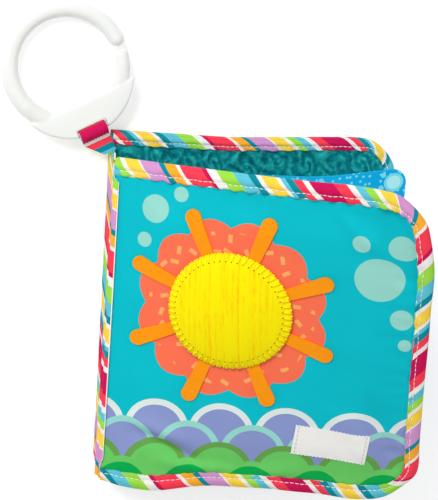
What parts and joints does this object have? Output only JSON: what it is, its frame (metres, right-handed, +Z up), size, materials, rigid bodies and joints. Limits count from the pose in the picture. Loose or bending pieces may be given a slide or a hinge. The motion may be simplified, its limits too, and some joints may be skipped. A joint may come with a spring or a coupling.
{
  "type": "crinkle cloth book",
  "caption": "Soft cloth book for a baby: padded covers with striped bindings and crackling film, a thin inner leaf, a flower patch and a link ring on a strap.",
  "frame": {"origin": "centre of the back cover's underside, on the surface that the book lies on", "axes": "+X from the spine to the fore-edge, +Y to the top of the book, +Z up out of the back cover"},
  "size_m": [0.1903, 0.2263, 0.1103],
  "materials": {
    "printed_cotton": "printed plain-weave cotton",
    "striped_cotton": "printed plain-weave cotton, diagonal stripes",
    "dotted_cotton": "printed plain-weave cotton, small dots",
    "lining_cotton": "plain-weave cotton",
    "teal_plush": "short embossed polyester plush",
    "polyester_wadding": "soft wadding",
    "crinkle_film": "thin crackling film",
    "orange_felt": "die-cut felt",
    "yellow_corduroy": "ribbed pile",
    "white_woven_tape": "satin woven tape",
    "white_plastic": "moulded gloss"
  },
  "bodies": {
    "root": {"back_cover_cloth": "printed_cotton", "back_cover_wadding": "polyester_wadding", "back_cover_crinkle_film": "crinkle_film", "back_cover_plush_page": "teal_plush", "back_cover_binding": "striped_cotton", "spine_strip_lower": "striped_cotton", "strap_tail": "striped_cotton"},
    "inner_leaf": {"inner_leaf_front_cloth": "dotted_cotton", "inner_leaf_crinkle_film": "crinkle_film", "inner_leaf_back_cloth": "dotted_cotton", "spine_strip_middle": "striped_cotton"},
    "front_cover": {"front_cover_cloth": "printed_cotton", "front_cover_wadding": "polyester_wadding", "front_cover_crinkle_film": "crinkle_film", "front_cover_lining": "lining_cotton", "front_cover_binding": "striped_cotton", "spine_strip_upper": "striped_cotton", "flower_felt": "orange_felt", "flower_patch_cloth": "yellow_corduroy", "flower_patch_wadding": "polyester_wadding", "woven_label": "white_woven_tape"},
    "strap": {"strap_loop": "striped_cotton"},
    "ring": {"link_ring": "white_plastic"}
  },
  "joints": [
    {"name": "leaf_turn", "type": "hinge", "parent": "root", "child": "inner_leaf", "pos_m": [-0.0693, 0, 0.01], "axis": [-0.0215, -0.9998, 0], "range_deg": [-3, 125]},
    {"name": "cover_turn", "type": "hinge", "parent": "inner_leaf", "child": "front_cover", "pos_m": [-0.0719, -0.0058, 0.01765], "axis": [-0.0215, -0.9995, -0.0234], "range_deg": [-6, 110]},
    {"name": "strap_bend", "type": "hinge", "parent": "root", "child": "strap", "pos_m": [-0.0749, 0.0782, 0.0088], "axis": [0.9063, 0.4226, 0], "range_deg": [-8, 25]},
    {"name": "ring_swing", "type": "hinge", "parent": "strap", "child": "ring", "pos_m": [-0.07705, 0.08281, 0.01113], "axis": [0.9063, 0.4226, 0], "range_deg": [-25, 35]}
  ]
}
